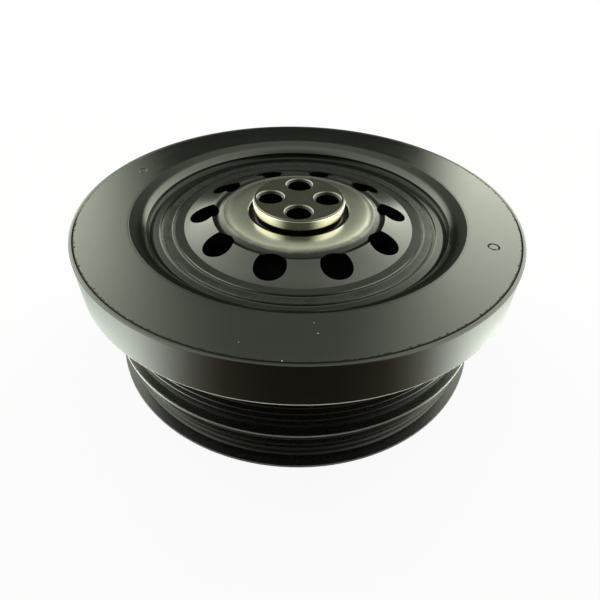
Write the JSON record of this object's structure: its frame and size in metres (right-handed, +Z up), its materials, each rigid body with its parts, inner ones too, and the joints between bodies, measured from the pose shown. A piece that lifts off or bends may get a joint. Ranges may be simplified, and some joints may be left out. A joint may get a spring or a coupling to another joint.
{
  "type": "crankshaft pulley",
  "caption": "Crankshaft belt pulley with a viscous torsional damper ring, a drilled web and a pilot spigot with chamfered bolt holes.",
  "frame": {"origin": "centre of the belt pulley's lower rim, on the crankshaft axis", "axes": "+Z up the crankshaft axis, from the belt pulley to the hub's pilot spigot; +X through one crank bolt hole"},
  "size_m": [0.188, 0.188, 0.0704],
  "materials": {
    "black_coat": "satin black electro-coat",
    "hub_steel": "bare turned seat and spigot, black coated web",
    "ring_iron": "turned grey iron",
    "sleeve_steel": "phosphated pressed steel",
    "guide_polymer": "filled polymer bearing strip",
    "bonded_rubber": "matte moulded rubber",
    "seal_rubber": "matte seal rubber"
  },
  "bodies": {
    "crank_side": {"hub": "hub_steel", "damper_housing": "black_coat", "damper_cover": "black_coat", "cover_seal_outer": "seal_rubber", "cover_seal_inner": "seal_rubber", "fill_plug_right": "black_coat", "fill_plug_left": "black_coat", "locating_ring": "black_coat", "inner_sleeve": "sleeve_steel", "decoupling_rubber": "bonded_rubber", "slide_bearing_bush": "guide_polymer", "thrust_ring": "guide_polymer"},
    "inertia_mass": {"inertia_ring": "ring_iron", "upper_guide_ring": "guide_polymer", "lower_guide_ring": "guide_polymer", "inner_guide_bush": "guide_polymer"},
    "belt_side": {"belt_pulley": "black_coat", "outer_sleeve": "sleeve_steel"}
  },
  "joints": [
    {"name": "inertia_ring_spin", "type": "hinge", "parent": "crank_side", "child": "inertia_mass", "pos_m": [0, 0, 0.05815], "axis": [0, 0, 1], "continuous": true},
    {"name": "pulley_windup", "type": "hinge", "parent": "crank_side", "child": "belt_side", "pos_m": [0, 0, 0.021], "axis": [0, 0, 1], "range_deg": [-8, 8], "stiffness_Nm_per_rad": 100}
  ]
}
